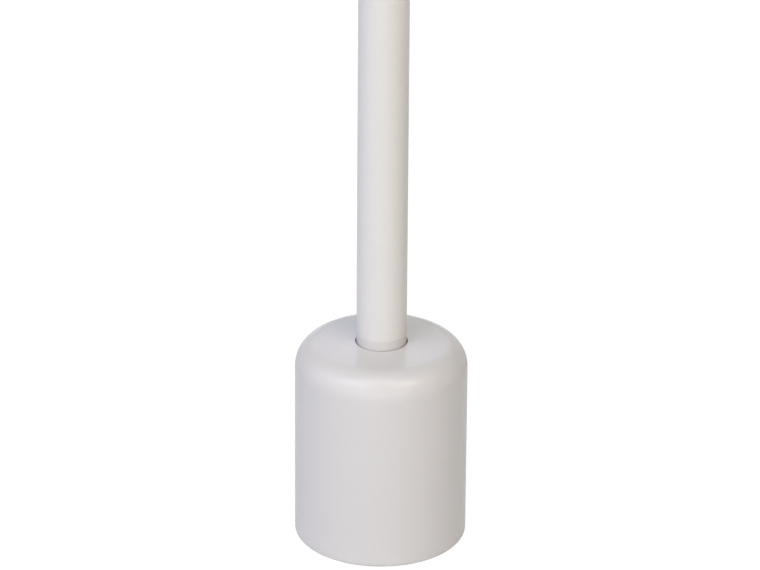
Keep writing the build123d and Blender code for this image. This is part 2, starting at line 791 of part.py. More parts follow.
head_grommet_groove = head_grommet_hole - slip
head_grommet_outer = head_grommet_groove + grommet_flange
with BuildPart() as head_grommet:
    add(ring(level(head_bottom - grommet_lip), head_grommet_bore, head_grommet_outer, grommet_lip))
    add(ring(level(head_bottom), head_grommet_bore, head_grommet_groove, web_top - head_bottom))
    add(ring(level(web_top), head_grommet_bore, head_grommet_outer, grommet_lip))

# ================================================================ window, display tube and boards
with BuildPart() as filter_window:
    with BuildSketch(facing(window_front)):
        RectangleRounded(window_width, window_height, opening_corner)
    extrude(amount=-window_thickness)

with BuildPart() as window_gasket:
    with BuildSketch(facing(gasket_front)):
        RectangleRounded(window_width, window_height, opening_corner)
        Rectangle(opening_width - 2 * gasket_lap, opening_height - 2 * gasket_lap, mode=Mode.SUBTRACT)
    extrude(amount=-gasket_thickness)

with BuildPart() as display_tube:
    with BuildSketch(facing(tube_front)):
        Rectangle(tube_width, tube_height)
    extrude(amount=-tube_thickness)
    fillet(display_tube.edges().filter_by(Axis.Y), tube_round)

tube_pin = display_pin()
with BuildPart() as tube_pins:
    with GridLocations(pin_pitch, 0, pin_count, 1):
        add(tube_pin)

with BuildPart() as display_board:
    with BuildSketch(facing(board_front)):
        RectangleRounded(board_width, board_height, board_corner)
        with GridLocations(2 * board_screw_x, 2 * board_screw_z, 2, 2):
            Circle(m3 + loose, mode=Mode.SUBTRACT)
        with GridLocations(2 * standoff_x, 2 * standoff_z, 2, 2):
            Circle(m3 + slip, mode=Mode.SUBTRACT)
    extrude(amount=-board_thickness)

board_screw = pan_screw(m3, m3_head, pan_height, board_back - window_front - boss_floor - tip_gap)
with BuildPart(behind(board_back)) as board_screws:
    with GridLocations(2 * board_screw_x, 2 * board_screw_z, 2, 2):
        add(board_screw)

with BuildPart() as standoffs:
    with BuildSketch(behind(board_back)):
        with GridLocations(2 * standoff_x, 2 * standoff_z, 2, 2):
            RegularPolygon(standoff_across / 2, 6, major_radius=False)
    extrude(amount=standoff_length)
    with BuildSketch(behind(board_front)):
        with GridLocations(2 * standoff_x, 2 * standoff_z, 2, 2):
            Circle(m3)
    extrude(amount=board_thickness)
    with BuildSketch(behind(small_front)):
        with GridLocations(2 * standoff_x, 2 * standoff_z, 2, 2):
            Circle(m3 + slip)
    extrude(amount=-standoff_thread, mode=Mode.SUBTRACT)

with BuildPart() as interface_board:
    with BuildSketch(facing(small_front)):
        RectangleRounded(small_board_width, small_board_height, board_corner)
        with GridLocations(2 * standoff_x, 2 * standoff_z, 2, 2):
            Circle(m3 + loose, mode=Mode.SUBTRACT)
    extrude(amount=-board_thickness)

interface_screw = pan_screw(m3, m3_head, pan_height, board_thickness + standoff_thread - tip_gap)
with BuildPart(behind(small_back)) as interface_screws:
    with GridLocations(2 * standoff_x, 2 * standoff_z, 2, 2):
        add(interface_screw)

with BuildPart() as board_header:
    with BuildSketch(behind(board_back)):
        with Locations((0, header_rise)):
            Rectangle(header_width, header_height)
    extrude(amount=standoff_length)

with BuildPart() as lead_connector:
    with BuildSketch(behind(small_back)):
        with Locations((0, -socket_body_drop)):
            Rectangle(socket_body_width, socket_body_height)
    extrude(amount=socket_body_depth)
    with BuildSketch(behind(small_back + socket_body_depth)):
        with Locations((0, -socket_body_drop)):
            inside_width = socket_body_width - 2 * socket_body_wall
            Rectangle(inside_width, socket_body_height - 2 * socket_body_wall)
    extrude(amount=2 * socket_body_wall - socket_body_depth, mode=Mode.SUBTRACT)

chip_x = (board_width + small_board_width) / 4
with BuildPart() as controller_chip:
    with BuildSketch(facing(board_back)):
        with Locations((chip_x, 0)):
            Rectangle(chip_size, chip_size)
    extrude(amount=-chip_height)

with BuildPart() as driver_chips:
    with BuildSketch(facing(board_back)):
        with Locations((-chip_x, 0)):
            with GridLocations(0, driver_length + 2 * driver_width, 1, 2):
                Rectangle(driver_width, driver_length)
    extrude(amount=-chip_height)

with BuildPart() as capacitors:
    with BuildSketch(facing(small_back)):
        with Locations((-small_board_width / 4, 0)):
            with GridLocations(capacitor_pitch, 0, capacitor_count, 1):
                Circle(capacitor_radius)
    extrude(amount=-capacitor_height)
    fillet(capacitors.edges().group_by(Axis.Y)[-1], capacitor_round)

with BuildPart() as filament_coil:
    with BuildSketch(facing(small_back)):
        with Locations((small_board_width / 4, 0)):
            Circle(coil_radius)
    extrude(amount=-coil_height)
    with BuildSketch(facing(small_back + coil_flange)):
        with Locations((small_board_width / 4, 0)):
            Circle(coil_radius)
            Circle(coil_radius - coil_groove, mode=Mode.SUBTRACT)
    extrude(amount=2 * coil_flange - coil_height, mode=Mode.SUBTRACT)

# ================================================================ write every piece
pieces = {
    "base_shell": base_shell,
    "base_plate": base_plate,
    "foot_pad": foot_pad,
    "ballast_ring": ballast_ring,
    "pole_socket": pole_socket,
    "lower_bush": lower_bush,
    "upper_bush": upper_bush,
    "lead_grommet": lead_grommet,
    "thrust_washer": thrust_washer,
    "shell_screws": shell_screws,
    "socket_screws": socket_screws,
    "ballast_screws": ballast_screws,
    "stop_screw": stop_screw,
    "swivel_stem": swivel_stem,
    "stem_foot": stem_foot,
    "pole_collar": pole_collar,
    "pole_tube": pole_tube,
    "pole_screws": pole_screws,
    "neck": neck,
    "neck_screw": neck_screw,
    "friction_washers": friction_washers,
    "spring_washers": spring_washers,
    "hinge_screws": hinge_screws,
    "hinge_bracket": hinge_bracket,
    "hinge_caps": hinge_caps,
    "bracket_screws": bracket_screws,
    "rear_cover": rear_cover,
    "front_bezel": front_bezel,
    "housing_screws": housing_screws,
    "head_grommet": head_grommet,
    "filter_window": filter_window,
    "window_gasket": window_gasket,
    "display_tube": display_tube,
    "tube_pins": tube_pins,
    "display_board": display_board,
    "board_screws": board_screws,
    "standoffs": standoffs,
    "interface_board": interface_board,
    "interface_screws": interface_screws,
    "board_header": board_header,
    "lead_connector": lead_connector,
    "controller_chip": controller_chip,
    "driver_chips": driver_chips,
    "capacitors": capacitors,
    "filament_coil": filament_coil,
}
os.makedirs("parts", exist_ok=True)
for name, piece in pieces.items():
    piece.part.label = name
    export_step(piece.part, f"parts/{name}.step")
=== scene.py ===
"""Looks of a customer pole display: finishes, display tube, small parts of the boards, studio and camera."""

import json
import logging
import math
from dataclasses import dataclass
from enum import Enum
from functools import cached_property

import bpy
import numpy as np
from mathutils import Matrix, Vector


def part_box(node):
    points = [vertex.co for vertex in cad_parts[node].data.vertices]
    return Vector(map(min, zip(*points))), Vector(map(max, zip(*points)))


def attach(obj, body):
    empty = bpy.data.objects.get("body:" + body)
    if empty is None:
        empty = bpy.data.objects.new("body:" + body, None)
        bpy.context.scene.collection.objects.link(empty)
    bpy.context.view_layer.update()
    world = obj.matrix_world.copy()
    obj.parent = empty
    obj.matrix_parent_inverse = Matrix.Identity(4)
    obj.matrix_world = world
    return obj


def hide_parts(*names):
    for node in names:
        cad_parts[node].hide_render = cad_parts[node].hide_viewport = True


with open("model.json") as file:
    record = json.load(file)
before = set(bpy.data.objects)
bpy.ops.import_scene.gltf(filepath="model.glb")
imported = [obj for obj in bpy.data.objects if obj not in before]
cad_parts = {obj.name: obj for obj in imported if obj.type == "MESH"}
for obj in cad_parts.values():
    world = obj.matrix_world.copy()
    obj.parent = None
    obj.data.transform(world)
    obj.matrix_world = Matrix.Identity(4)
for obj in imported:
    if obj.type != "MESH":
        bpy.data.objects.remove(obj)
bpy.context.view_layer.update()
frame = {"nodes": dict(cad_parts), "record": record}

log = logging.getLogger("pole_display")
MM = 0.001
SMOOTH_TO = math.radians(35)  # edges that turn by more than this stay sharp
Triple = tuple[float, float, float]
Layers = tuple[tuple[float, ...], ...]  # noises: width in metres, weight and, if it isn't 2, detail
Material, Socket = bpy.types.Material, bpy.types.NodeSocket
SLOTS = {part["node"]: part["material_slot"] for part in frame["record"]["subparts"]}


# ---------------- shader toolkit
class Value:
    """A number in a material: a node's socket on which Python's operators add Math nodes."""

    def __init__(self, graph: "Graph", socket: Socket) -> None:
        """Wraps a socket of the graph."""
        self.graph = graph
        self.socket = socket

    def math(self, operation: str, *others: "Value | float", first: bool = True) -> "Value":
        """Adds a Math node.

        Args:
            operation: the Math node's operation.
            others: the other operands, values or plain numbers.
            first: whether this value is the first operand, or the last.

        Returns:
            The node's result.
        """
        operands = [self, *others] if first else [*others, self]
        return self.graph.value("Math", {"operation": operation}, dict(enumerate(operands)))

    def __add__(self, other: "Value | float") -> "Value":
        """Sum."""
        return self.math("ADD", other)

    def __sub__(self, other: "Value | float") -> "Value":
        """Difference."""
        return self.math("SUBTRACT", other)

    def __rsub__(self, other: float) -> "Value":
        """Difference with this value taken away."""
        return self.math("SUBTRACT", other, first=False)

    def __mul__(self, other: "Value | float") -> "Value":
        """Product."""
        return self.math("MULTIPLY", other)

    def __truediv__(self, other: "Value | float") -> "Value":
        """Quotient."""
        return self.math("DIVIDE", other)

    __radd__ = __add__
    __rmul__ = __mul__

    def step(self, low: float, high: float) -> "Value":
        """Smooth step: 0 below low, 1 above high; falls instead where low is the larger."""
        values = {"Value": self, "From Min": low, "From Max": high}
        return self.graph.value("MapRange", {"interpolation_type": "SMOOTHSTEP"}, values)


class Graph:
    """The node tree of one material, or of the world."""

    def __init__(self, owner: Material | bpy.types.World) -> None:
        """Empties the owner's node tree.

        Args:
            owner: the material or the world.
        """
        owner.use_nodes = True
        self.owner = owner
        self.tree = owner.node_tree
        self.tree.nodes.clear()

    @cached_property
    def coordinates(self) -> Socket:
        """The object's own coordinates, in metres."""
        return self.node("TexCoord").outputs["Object"]

    def node(self, kind: str, settings: dict | None = None, values: dict | None = None) -> bpy.types.Node:
        """Adds a node.

        Args:
            kind: the node's type, less the ShaderNode that all types begin with.
            settings: its properties, set before its sockets.
            values: its inputs by name or number; a Value, a socket or a node, by its first output, is
                linked, and anything else is set.

        Returns:
            The node.
        """
        node = self.tree.nodes.new("ShaderNode" + kind)
        for key, setting in (settings or {}).items():
            setattr(node, key, setting)
        for key, value in (values or {}).items():
            value = value.outputs[0] if isinstance(value, bpy.types.Node) else value
            value = value.socket if isinstance(value, Value) else value
            if isinstance(value, Socket):
                self.tree.links.new(value, node.inputs[key])
            else:
                node.inputs[key].default_value = value
        return node

    def value(self, *node: object, output: int | str = 0) -> Value:
        """Adds a node, with the arguments of node(), and wraps one of its outputs."""
        return Value(self, self.node(*node).outputs[output])

    def axes(self) -> tuple[Value, Value, Value]:
        """The place of a point on the object, along X, Y and Z, in metres."""
        parts = self.node("SeparateXYZ", values={0: self.coordinates}).outputs
        return Value(self, parts[0]), Value(self, parts[1]), Value(self, parts[2])

    def noise(self, size: float, detail: float = 2, scale: Triple | None = None, rough: float = 0.5) -> Value:
        """Cloudy noise from 0 to 1 about 0.5.

        Args:
            size: width of its features, in metres.
            detail: octaves.
            scale: multiplies the place along each axis; less than 1 makes the features longer.
            rough: how much the finer octaves count.

        Returns:
            The noise.
        """
        place = self.coordinates
        if scale:
            place = self.node("Mapping", values={"Vector": place, "Scale": scale}).outputs[0]
        values = {"Vector": place, "Scale": 1 / size, "Detail": detail, "Roughness": rough}
        return self.value("TexNoise", None, values)

    def layers(self, layers: Layers) -> Value:
        """Sum of noises, each times its weight."""
        first, *rest = (self.noise(size, *detail) * weight for size, weight, *detail in layers)
        return sum(rest, first)

    def cells(self, size: float, feature: str = "F1") -> Value:
        """Distance to the nearest point of a random scatter, as a share of the cells' size in metres."""
        values = {"Vector": self.coordinates, "Scale": 1 / size}
        return self.value("TexVoronoi", {"feature": feature}, values, output="Distance")

    def mix(self, factor: Value, first: Triple, second: Triple) -> Socket:
        """Colour between two colours."""
        values = {"Factor": factor, 6: (*first, 1.0), 7: (*second, 1.0)}
        return self.node("Mix", {"data_type": "RGBA"}, values).outputs[2]

    def shaded(self, colour: Triple, brightness: Value) -> Socket:
        """A colour times a brightness near 1."""
        values = {0: colour, "Scale": brightness}
        return self.node("VectorMath", {"operation": "SCALE"}, values).outputs[0]

    def surface(
        self, colour: Socket | Triple, roughness: Value | float, relief: Value | None = None,
        depth: float = 0.0, **others: object
    ) -> Material:
        """Ends the material with a Principled shader.

        Args:
            colour: its colour, a socket or three numbers.
            roughness: its roughness.
            relief: the height of its small relief, from 0 to 1, if it has any.
            depth: the relief's depth, in metres.
            others: further inputs, with underscores for the spaces of their names.

        Returns:
            The material.
        """
        colour = (*colour, 1.0) if isinstance(colour, tuple) else colour
        values = {key.replace("_", " "): other for key, other in others.items()}
        values |= {"Base Color": colour, "Roughness": roughness}
        if relief:
            values["Normal"] = self.node("Bump", values={"Height": relief, "Distance": depth})
        return self.end(self.node("BsdfPrincipled", values=values))

    def end(self, shader: bpy.types.Node) -> Material | bpy.types.World:
        """Links the last shader to the output and gives back the material or the world."""
        self.node(f"Output{type(self.owner).__name__}", values={"Surface": shader})
        return self.owner

    def ray(self, kind: str) -> Value:
        """1 for rays of a kind, such as Camera or Glossy, else 0."""
        return self.value("LightPath", output=f"Is {kind} Ray")

    def seen(self) -> Value:
        """1 for rays of the camera, of reflections and through glass; 0 for rays that light the object."""
        reflected_or_clear = self.ray("Glossy").math("MAXIMUM", self.ray("Transmission"))
        return reflected_or_clear.math("MAXIMUM", self.ray("Camera"))


# ---------------- finishes
@dataclass(frozen=True)
class SatinMoulding:
    """Injection-moulded plastic with a satin gloss: faint flow, orange peel, specks and rubbed patches."""

    colour: Triple
    roughness: float = 0.24
    base: float = 0.983
    tone: Layers = ((0.07, 0.016), (0.0014, 0.018, 3))
    relief: Layers = ((0.0022, 0.8), (0.0004, 0.2, 1))
    depth: float = 4e-6  # of the relief
    patch: Triple = (0.03, 1.0, 0.02)  # rubbed patches: width, scale along Z, weight in the roughness
    hair: Triple = (0.0008, 0.08, 0.012)  # the same for hairlines
    specks: float = 0.05
    speck_spacing: float = 0.0045
    # patchy darkening towards the bottom: its weight, the width of its patches and the height where it ends
    grime: float = 0.12
    grime_size: float = 0.005
    grime_top: float = 0.0

    def make(self, g: Graph) -> Material:
        """Builds the material.

        Brightness is about 1 with a slow drift, less specks and a patchy darkening towards the bottom that
        fades out with height.
        Roughness is higher in rubbed patches and along hairlines. Relief is a broad peel plus a fine grain.

        Args:
            g: the material's empty graph.

        Returns:
            The material.
        """
        brightness = self.base + g.layers(self.tone)
        if self.specks:
            brightness = brightness - g.cells(self.speck_spacing).step(0.11, 0.05) * self.specks
        # darker in patches within the lowest few millimetres, fading out with height
        if self.grime_top:
            _, _, z = g.axes()
            darkened = z.step(self.grime_top, 0.0) * g.noise(self.grime_size, detail=4).step(0.35, 0.75)
            brightness = brightness - darkened * self.grime
        width, scale, weight = self.patch
        roughness = self.roughness + g.noise(width, 1, (1.0, 1.0, scale)) * weight
        width, scale, weight = self.hair
        roughness += g.noise(width, 1, (1.0, 1.0, scale)).step(0.6, 0.85) * weight
        colour = g.shaded(self.colour, brightness)
        return g.surface(colour, roughness, g.layers(self.relief), self.depth, IOR=1.5)


@dataclass(frozen=True)
class PowderCoat(SatinMoulding):
    """Powder-coated metal: fuller orange peel, a soft sheen, bands where it is wiped, and no specks."""

    roughness: float = 0.28
    base: float = 0.98
    tone: Layers = ((0.05, 0.025), (0.0012, 0.015))
    relief: Layers = ((0.0019, 0.75), (0.00045, 0.25, 1))
    depth: float = 9e-6
    patch: Triple = (0.02, 0.25, 0.04)
    hair: Triple = (0.0008, 0.06, 0.025)
    specks: float = 0.0


@dataclass(frozen=True)
class SparkTexture:
    """Moulded plastic from a spark-eroded tool: an even, fine pebble that scatters the light."""

    colour: Triple
    roughness: float = 0.46
    pebble: float = 0.00055
    depth: float = 1.6e-5
    drift: float = 0.07
    patch: float = 0.045

    def make(self, g: Graph) -> Material:
        """Builds the material.

        Relief is rounded cells (1 less the distance to the cell's middle) over a finer grain. Hollows are a
        little darker, a painted shade, and rougher, and polished patches, where hands hold the head, are
        smoother.

        Args:
            g: the material's empty graph.

        Returns:
            The material.
        """
        pebbles = 1 - g.cells(self.pebble, "SMOOTH_F1")
        relief = pebbles * 0.7 + g.noise(self.pebble / 3, detail=1) * 0.3
        polished = g.noise(self.patch, detail=1).step(0.45, 0.75)
        # pebbles * 0.03 makes the hollows between the pebbles darker: painted shade
        brightness = 0.95 + g.noise(self.drift) * 0.03 + pebbles * 0.03
        roughness = self.roughness - polished * 0.09 - pebbles * 0.05
        return g.surface(g.shaded(self.colour, brightness), roughness, relief, self.depth, IOR=1.5)


@dataclass(frozen=True)
class Metal:
    """Bare or plated metal, with the marks of its making."""

    colour: Triple
    roughness: float = 0.32
    turned: float = 0.0  # pitch of turning marks along Z
    grain: float = 0.0005
    depth: float = 6e-6
    blotch: float = 0.004
    contrast: float = 0.12

    def make(self, g: Graph) -> Material:
        """Builds the material.

        Blotches shift brightness and roughness. Turning marks are sine rings along Z, 1 + sin(2 pi z / pitch)
        over 2, broken up by noise; without a pitch the relief is a plain grain.

        Args:
            g: the material's empty graph.

        Returns:
            The material.
        """
        blotch = g.noise(self.blotch, detail=4, rough=0.6)
        grain = g.noise(self.grain)
        relief = grain
        if self.turned:
            _, _, z = g.axes()
            rings = (z * (2 * math.pi / self.turned) + grain * 1.5).math("SINE") * 0.5 + 0.5
            relief = rings * 0.7 + grain * 0.3
        roughness = self.roughness + (blotch - 0.5) * 0.25 + grain * 0.05
        colour = g.shaded(self.colour, 1 - self.contrast / 2 + blotch * self.contrast)
        return g.surface(colour, roughness, relief, self.depth, Metallic=1.0)


@dataclass(frozen=True)
class CastIron:
    """Sand-cast iron under thin oil paint: lumpy skin, rust in the pores."""

    colour: Triple = (0.055, 0.055, 0.06)
    rust: Triple = (0.16, 0.07, 0.035)
    patch: float = 0.012
    sand: float = 0.0011
    lumps: float = 0.006
    depth: float = 1.6e-4

    def make(self, g: Graph) -> Material:
        """Builds the material: sand relief at two scales, rusty where a slow noise and the pores agree.

        Args:
            g: the material's empty graph.

        Returns:
            The material.
        """
        sand = g.noise(self.sand, detail=4, rough=0.65)
        rusty = g.noise(self.patch, detail=3).step(0.52, 0.68) * sand.step(0.45, 0.3)
        colour = g.mix(rusty * 0.8, self.colour, self.rust)
        relief = sand * 0.6 + g.noise(self.lumps) * 0.4
        return g.surface(colour, 0.55 + sand * 0.2, relief, self.depth)


@dataclass(frozen=True)
class Rubber:
    """Moulded rubber or foam: matt, grained, with a bloom of dust."""

    colour: Triple
    grain: float = 0.0006
    depth: float = 2.5e-5
    dust: float = 0.35
    patch: float = 0.009

    def make(self, g: Graph) -> Material:
        """Builds the material: dust lightens the colour in patches, and grain lifts the surface.

        Args:
            g: the material's empty graph.

        Returns:
            The material.
        """
        grain = g.noise(self.grain, detail=3, rough=0.6)
        dusty = g.noise(self.patch, detail=4).step(0.45, 0.8) * self.dust
        pale = tuple(0.6 * c + 0.08 for c in self.colour)
        colour = g.mix(dusty, self.colour, pale)
        return g.surface(colour, 0.72 + dusty * 0.2, grain, self.depth)


@dataclass(frozen=True)
class PlainMoulding:
    """Small technical moulding, such as a bush or a chip: even colour, faint grain, dull sheen."""

    colour: Triple
    roughness: float = 0.42
    grain: float = 0.0005
    depth: float = 8e-6
    drift: float = 0.008

    def make(self, g: Graph) -> Material:
        """Builds the material: grain, slight tone drift and roughness that follows a slow noise.

        Args:
            g: the material's empty graph.

        Returns:
            The material.
        """
        drift = g.noise(self.drift, detail=3)
        grain = g.noise(self.grain)
        colour = g.shaded(self.colour, 0.94 + drift * 0.08 + grain * 0.04)
        roughness = self.roughness + (drift - 0.5) * 0.16
        return g.surface(colour, roughness, grain, self.depth)


@dataclass(frozen=True)
class SmokedWindow:
    """Smoked acrylic: dark, clear, polished, with wiping marks in its gloss."""

    colour: Triple = (0.3, 0.37, 0.37)
    wiping: float = 0.012
    waves: float = 0.018
    depth: float = 1e-5

    def make(self, g: Graph) -> Material:
        """Builds the material: a clear dark body whose roughness rises a little along wiping marks.

        Args:
            g: the material's empty graph.

        Returns:
            The material.
        """
        wiping = g.noise(self.wiping, detail=4, scale=(0.25, 1.0, 1.0)).step(0.5, 0.8)
        waves = g.noise(self.waves, detail=1)
        clear = {"IOR": 1.45, "Transmission_Weight": 1.0}
        return g.surface(self.colour, 0.03 + wiping * 0.05, waves, self.depth, **clear)


@dataclass(frozen=True)
class ClearGlass:
    """Soda glass of the display tube, with a trace of green and a few drawing lines."""

    colour: Triple = (0.86, 0.93, 0.9)
    lines: float = 0.004
    depth: float = 4e-6

    def make(self, g: Graph) -> Material:
        """Builds the material: clear glass whose relief is long, low drawing lines.

        Args:
            g: the material's empty graph.

        Returns:
            The material.
        """
        lines = g.noise(self.lines, detail=1, scale=(0.1, 1.0, 1.0))
        clear = {"IOR": 1.4, "Transmission_Weight": 1.0}
        return g.surface(self.colour, 0.02 + lines * 0.02, lines, self.depth, **clear)


@dataclass(frozen=True)
class Phosphor:
    """Zinc oxide phosphor on an anode: pale when dark, blue-green when lit."""

    body: Triple
    glow: Triple
    strength: float
    tone: Layers = ((0.0002, 0.2), (0.02, 0.04))

    def make(self, g: Graph) -> Material:
        """Builds the material: a fine powder whose glow varies a little from grain to grain.

        Args:
            g: the material's empty graph.

        Returns:
            The material.
        """
        uneven = 0.88 + g.layers(self.tone)
        glow = g.shaded(self.glow, uneven)
        body = g.shaded(self.body, uneven)
        return g.surface(body, 0.8, Emission_Color=glow, Emission_Strength=self.strength)


@dataclass(frozen=True)
class SolderMask:
    """Green circuit board: glossy mask over copper tracks that show as paler, raised lines."""

    mask: Triple = (0.012, 0.085, 0.038)
    track: Triple = (0.03, 0.19, 0.075)
    pitch: float = 0.0023
    block: float = 0.014
    sheen: float = 0.01
    depth: float = 3.5e-5

    def make(self, g: Graph) -> Material:
        """Builds the material.

        Tracks run along X or Z. Each family is a band where the fraction of the place over the pitch is near
        one half, kept only where a blocky noise allows it, so that they stop and start.

        Args:
            g: the material's empty graph.

        Returns:
            The material.
        """
        x, _, z = g.axes()
        runs_x = self.band(z) * g.noise(self.block, detail=0, scale=(0.35, 0.0, 1.0)).step(0.5, 0.53)
        runs_z = self.band(x) * g.noise(self.block, detail=0, scale=(1.0, 0.0, 0.35)).step(0.53, 0.56)
        tracks = runs_x.math("MAXIMUM", runs_z)
        colour = g.mix(tracks, self.mask, self.track)
        roughness = 0.24 + g.noise(self.sheen, detail=3) * 0.14
        return g.surface(colour, roughness, tracks, self.depth)

    def band(self, place: Value) -> Value:
        """1 in a narrow band once every pitch along one axis."""
        distance = ((place / self.pitch).math("FRACT") - 0.5).math("ABSOLUTE")
        return distance.step(0.2, 0.14)


class Finish(Enum):
    """The finish of every material slot in the record, and of the pieces that only the looks have."""

    pot_white = SatinMoulding((0.69, 0.68, 0.675), grime_top=0.006)
    collar_white = SatinMoulding((0.66, 0.645, 0.64), roughness=0.29)
    # The pole's and the neck's coat are lighter than the pot's plastic: partly a lighter coat, partly painted
    # light for light that the pole gets
    pole_white = PowderCoat((0.75, 0.738, 0.722))
    neck_white = PowderCoat((0.75, 0.738, 0.725))
    head_white = SparkTexture((0.69, 0.68, 0.675))
    plate_steel = Metal((0.6, 0.61, 0.62), roughness=0.34, depth=1.2e-5)
    ballast_iron = CastIron()
    socket_aluminium = Metal((0.74, 0.74, 0.75), turned=0.0005, depth=1.5e-5)
    bush_acetal = PlainMoulding((0.8, 0.79, 0.74), roughness=0.35)
    pad_rubber = Rubber((0.035, 0.035, 0.036))
    grommet_rubber = Rubber((0.025, 0.025, 0.026), dust=0.2)
    screw_zinc = Metal((0.66, 0.67, 0.68), roughness=0.28)
    screw_black = Metal((0.07, 0.07, 0.075), roughness=0.38)
    washer_fibre = PlainMoulding((0.28, 0.09, 0.05), roughness=0.6, depth=2e-5)
    spring_steel = Metal((0.42, 0.4, 0.37), roughness=0.3)
    window_smoke = SmokedWindow()
    gasket_black = Rubber((0.02, 0.02, 0.02), grain=0.0004, depth=6e-5, dust=0.1)
    tube_glass = ClearGlass()
    pin_tin = Metal((0.68, 0.68, 0.66), roughness=0.25)
    board_green = SolderMask()
    standoff_brass = Metal((0.78, 0.58, 0.27), roughness=0.27)
    header_black = PlainMoulding((0.03, 0.03, 0.03))
    connector_ivory = PlainMoulding((0.78, 0.74, 0.64), roughness=0.38)
    chip_black = PlainMoulding((0.028, 0.028, 0.03), roughness=0.5, depth=1.4e-5)
    capacitor_sleeve = PlainMoulding((0.02, 0.03, 0.075), roughness=0.25)
    coil_core = PlainMoulding((0.09, 0.08, 0.075), roughness=0.55)
    anode_plate = PlainMoulding((0.01, 0.011, 0.012), roughness=0.45, grain=0.0003, depth=1e-6)
    lit_phosphor = Phosphor(body=(0.5, 0.6, 0.56), glow=(0.1, 0.9, 0.62), strength=6.0)
    dark_phosphor = Phosphor(body=(0.085, 0.095, 0.092), glow=(0.0, 0.0, 0.0), strength=0.0)
    grid_metal = Metal((0.3, 0.3, 0.31), roughness=0.35)
    filament_wire = Metal((0.5, 0.45, 0.4), roughness=0.4)
    copper_enamel = Metal((0.72, 0.3, 0.14), roughness=0.3)
    solder = Metal((0.74, 0.75, 0.76), roughness=0.22)

    def material(self) -> Material:
        """The finish's material, made once."""
        name = f"{self.name}_finish"
        return bpy.data.materials.get(name) or self.value.make(Graph(bpy.data.materials.new(name)))


# ---------------- surfaces
def ring_cells(count: int, sides: int) -> np.ndarray:
    """Cells between closed rings: (i, j), (i, j+1), (i+1, j+1), (i+1, j) of ring i and its point j.

    Args:
        count: rings.
        sides: points in a ring.

    Returns:
        The numbers of each cell's four points, a row for each cell.
    """
    i, j = np.indices((count - 1, sides))
    here, beside = i * sides + j, i * sides + (j + 1) % sides
    return np.stack([here, beside, beside + sides, here + sides], axis=-1).reshape(-1, 4)


@dataclass(frozen=True)
class Surface:
    """Points and triangles of one or more closed surfaces, in metres."""

    points: np.ndarray
    triangles: np.ndarray

    @classmethod
    def swept(cls, rings: np.ndarray) -> "Surface":
        """Closed skin through rings of points, one after another along a path.

        Each cell between rings is two triangles, and a fan from point 0 fills the first and the last ring.
        The skin is turned if its volume comes out negative.

        Args:
            rings: points by ring, point and axis.

        Returns:
            The surface, facing outwards.
        """
        count, sides = rings.shape[:2]
        cells = ring_cells(count, sides)
        k = np.arange(1, sides - 1)
        first = np.stack([0 * k, k + 1, k], axis=1)
        last = np.stack([0 * k, k, k + 1], axis=1) + (count - 1) * sides
        triangles = np.concatenate([cells[:, [0, 1, 2]], cells[:, [0, 2, 3]], first, last])
        surface = cls(rings.reshape(-1, 3), triangles)
        return surface if surface.volume() > 0 else surface.inside_out()

    def volume(self) -> float:
        """Signed volume: a sixth of the sum of a . (b x c) over the triangles' corners."""
        a, b, c = self.points[self.triangles].transpose(1, 0, 2)
        return float(np.sum(a * np.cross(b, c))) / 6

    def inside_out(self) -> "Surface":
        """The same surface, facing the other way."""
        return Surface(self.points, self.triangles[:, ::-1])

    def __add__(self, other: "Surface") -> "Surface":
        """Both surfaces together."""
        triangles = np.concatenate([self.triangles, other.triangles + len(self.points)])
        return Surface(np.concatenate([self.points, other.points]), triangles)

    def at(self, places: np.ndarray) -> "Surface":
        """Copies of the surface.

        Args:
            places: what each copy is moved by, a row each.

        Returns:
            All copies as one surface.
        """
        places = np.atleast_2d(places)
        points = (places[:, None] + self.points).reshape(-1, 3)
        first = np.arange(len(places))[:, None, None] * len(self.points)
        return Surface(points, (first + self.triangles).reshape(-1, 3))

    def spun(self, angle: float) -> "Surface":
        """The surface turned about Y: (x cos a + z sin a, y, z cos a - x sin a).

        Args:
            angle: the angle a.

        Returns:
            The turned surface.
        """
        x, y, z = self.points.T
        cos, sin = math.cos(angle), math.sin(angle)
        return Surface(np.stack([x * cos + z * sin, y, z * cos - x * sin], axis=1), self.triangles)


def rounded(width: float, height: float, radius: float, steps: int) -> np.ndarray:
    """Outline of a rectangle with round corners: a quarter arc of points about each corner's centre.

    Args:
        width: size along X.
        height: size along Z.
        radius: radius of the corners.
        steps: points on each arc.

    Returns:
        One row of x and z for each point.
    """
    turn = (np.arange(4)[:, None] + np.linspace(0, 1, steps)) * math.pi / 2
    corner = np.array([(1, 1), (-1, 1), (-1, -1), (1, -1)])[:, None]
    arc = radius * np.stack([np.cos(turn), np.sin(turn)], axis=-1)
    return (corner * (np.array([width, height]) / 2 - radius) + arc).reshape(-1, 2)


def slab(size: Triple, radius: float, bevel: float, steps: int = 4) -> Surface:
    """Rounded rectangle carried along Y about the origin, drawn in by the bevel at both ends.

    Args:
        size: size along X, Y and Z.
        radius: radius of the upright corners, more than the bevel.
        bevel: width of the bevel round both faces.
        steps: points on each corner.

    Returns:
        The surface.
    """
    half = size[1] / 2
    stations = ((-half, bevel), (bevel - half, 0.0), (half - bevel, 0.0), (half, bevel))
    rings = []
    for y, inset in stations:
        outline = rounded(size[0] - 2 * inset, size[2] - 2 * inset, radius - inset, steps)
        rings.append(np.insert(outline, 1, y, axis=1))
    return Surface.swept(np.stack(rings))


def turned(profile: np.ndarray, sides: int) -> Surface:
    """Profile turned about Y: x = r cos t, z = r sin t, with t by the side.

    Args:
        profile: one row of radius and y for each point.
        sides: points round the surface.

    Returns:
        The surface.
    """
    turn = np.arange(sides) * 2 * math.pi / sides
    radius, y = profile.T[..., None]
    return Surface.swept(spread(radius * np.cos(turn), y, radius * np.sin(turn)))


